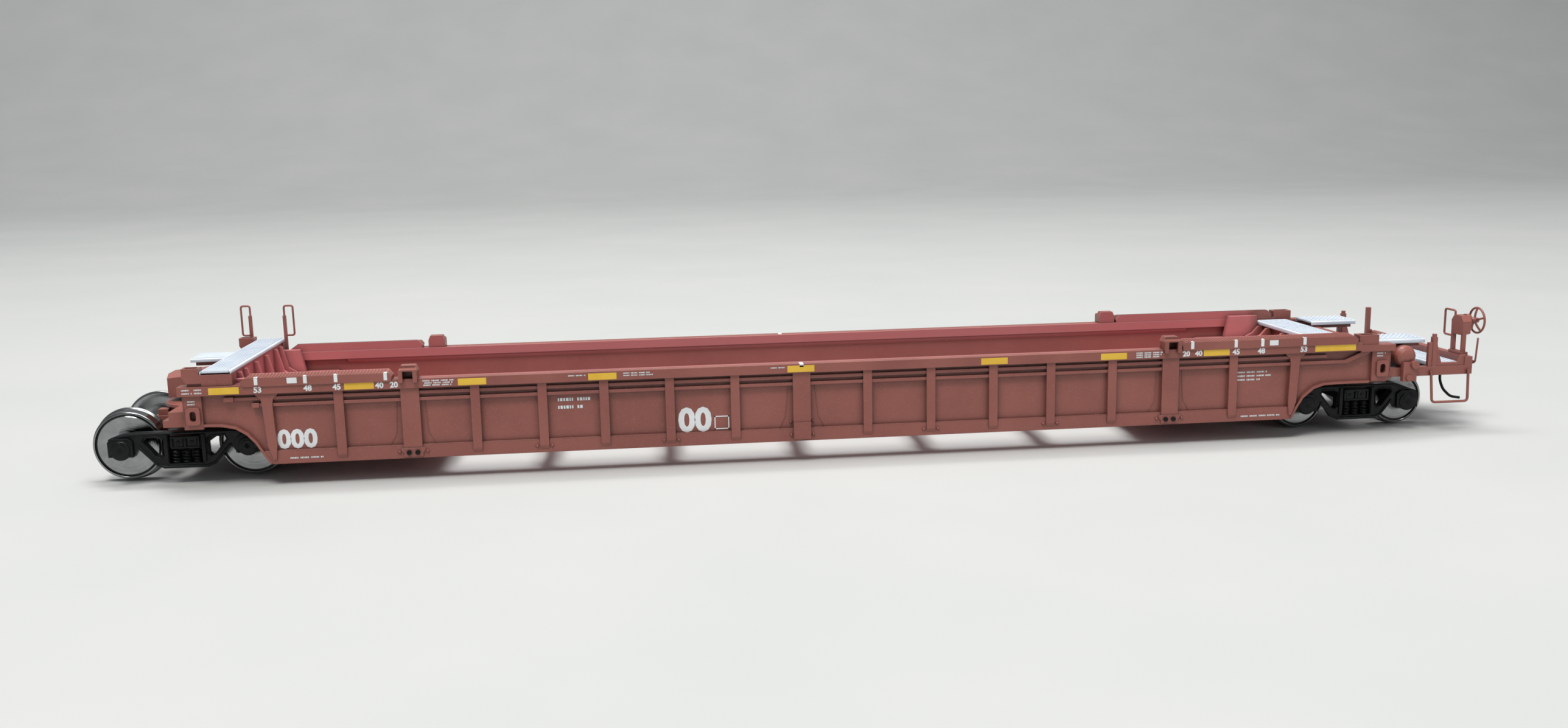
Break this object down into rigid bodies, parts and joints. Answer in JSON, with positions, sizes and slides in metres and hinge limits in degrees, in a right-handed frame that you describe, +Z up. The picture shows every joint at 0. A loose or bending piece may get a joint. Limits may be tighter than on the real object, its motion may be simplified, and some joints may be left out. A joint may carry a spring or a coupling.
{
  "type": "articulated container well car model, end unit with trucks",
  "caption": "Scale model of a low container well car end unit: ribbed well sides, end decks with walkways, two swivelling trucks with turning wheelsets, hand brake wheel and knuckle coupler.",
  "frame": {"origin": "centre of the overall length and width, at the lowest points of the wheels", "axes": "+X along the car from the articulated end to the hand-brake end, +Y across it to the far side, +Z up"},
  "size_m": [0.2564, 0.0378, 0.0268],
  "materials": {
    "body_paint": "satin red-brown oxide paint",
    "walkway_grey": "semi-matt light blue-grey",
    "black_plastic": "satin black",
    "bright_wheel": "turned and bright nickel"
  },
  "bodies": {
    "body": {"well_side_near": "body_paint", "well_side_far": "body_paint", "well_floor": "body_paint", "bulkhead_a": "body_paint", "bulkhead_b": "body_paint", "deck_a": "body_paint", "deck_b": "body_paint", "connector_casting": "body_paint", "body_bolster_a": "body_paint", "body_bolster_b": "body_paint", "end_platform": "body_paint", "pedestal_near": "body_paint", "pedestal_far": "body_paint", "container_guide_a_near": "body_paint", "container_guide_a_far": "body_paint", "container_guide_b_near": "body_paint", "container_guide_b_far": "body_paint", "post_bracket_a_near": "body_paint", "post_bracket_a_far": "body_paint", "post_bracket_b_near": "body_paint", "post_bracket_b_far": "body_paint", "board_carrier_a": "body_paint", "board_carrier_near": "body_paint", "board_carrier_far": "body_paint", "grab_loop_1": "body_paint", "grab_loop_2": "body_paint", "stirrup_near": "body_paint", "stirrup_far": "body_paint", "air_reservoir": "body_paint", "brake_stand": "body_paint", "uncoupling_lever": "body_paint", "board_a_cross": "walkway_grey", "board_a_far": "walkway_grey", "board_b_cross": "walkway_grey", "board_b_near": "walkway_grey", "board_b_far": "walkway_grey", "board_b_end": "walkway_grey", "coupler_box": "black_plastic"},
    "truck_a": {"truck_a_frame_near": "black_plastic", "truck_a_frame_far": "black_plastic", "truck_a_bolster": "black_plastic"},
    "wheelset_a_1": {"truck_a_axle_1": "bright_wheel", "truck_a_wheel_1_near": "bright_wheel", "truck_a_wheel_1_far": "bright_wheel"},
    "wheelset_a_2": {"truck_a_axle_2": "bright_wheel", "truck_a_wheel_2_near": "bright_wheel", "truck_a_wheel_2_far": "bright_wheel"},
    "truck_b": {"truck_b_frame_near": "black_plastic", "truck_b_frame_far": "black_plastic", "truck_b_bolster": "black_plastic"},
    "wheelset_b_1": {"truck_b_axle_1": "bright_wheel", "truck_b_wheel_1_near": "bright_wheel", "truck_b_wheel_1_far": "bright_wheel"},
    "wheelset_b_2": {"truck_b_axle_2": "bright_wheel", "truck_b_wheel_2_near": "bright_wheel", "truck_b_wheel_2_far": "bright_wheel"},
    "coupler": {"coupler": "black_plastic"},
    "knuckle": {"knuckle": "black_plastic"},
    "brake_wheel": {"brake_wheel": "body_paint"}
  },
  "joints": [
    {"name": "truck_a_swivel", "type": "hinge", "parent": "body", "child": "truck_a", "pos_m": [-0.1113, 0, 0.008], "axis": [0, 0, 1], "range_deg": [-10, 10]},
    {"name": "wheelset_a_1_roll", "type": "hinge", "parent": "truck_a", "child": "wheelset_a_1", "pos_m": [-0.1218, 0, 0.00635], "axis": [0, 1, 0], "continuous": true},
    {"name": "wheelset_a_2_roll", "type": "hinge", "parent": "truck_a", "child": "wheelset_a_2", "pos_m": [-0.1008, 0, 0.00635], "axis": [0, 1, 0], "continuous": true},
    {"name": "truck_b_swivel", "type": "hinge", "parent": "body", "child": "truck_b", "pos_m": [0.0998, 0, 0.008], "axis": [0, 0, 1], "range_deg": [-10, 10]},
    {"name": "wheelset_b_1_roll", "type": "hinge", "parent": "truck_b", "child": "wheelset_b_1", "pos_m": [0.0899, 0, 0.0053], "axis": [0, 1, 0], "continuous": true},
    {"name": "wheelset_b_2_roll", "type": "hinge", "parent": "truck_b", "child": "wheelset_b_2", "pos_m": [0.1097, 0, 0.0053], "axis": [0, 1, 0], "continuous": true},
    {"name": "coupler_swing", "type": "hinge", "parent": "body", "child": "coupler", "pos_m": [0.114, 0, 0.00965], "axis": [0, 0, 1], "range_deg": [-10, 10]},
    {"name": "knuckle_open", "type": "hinge", "parent": "coupler", "child": "knuckle", "pos_m": [0.12485, 0.0017, 0.00965], "axis": [0, 0, 1], "range_deg": [0, 20]},
    {"name": "brake_wheel_turn", "type": "hinge", "parent": "body", "child": "brake_wheel", "pos_m": [0.1229, -0.0132, 0.0201], "axis": [1, 0, 0], "continuous": true}
  ]
}
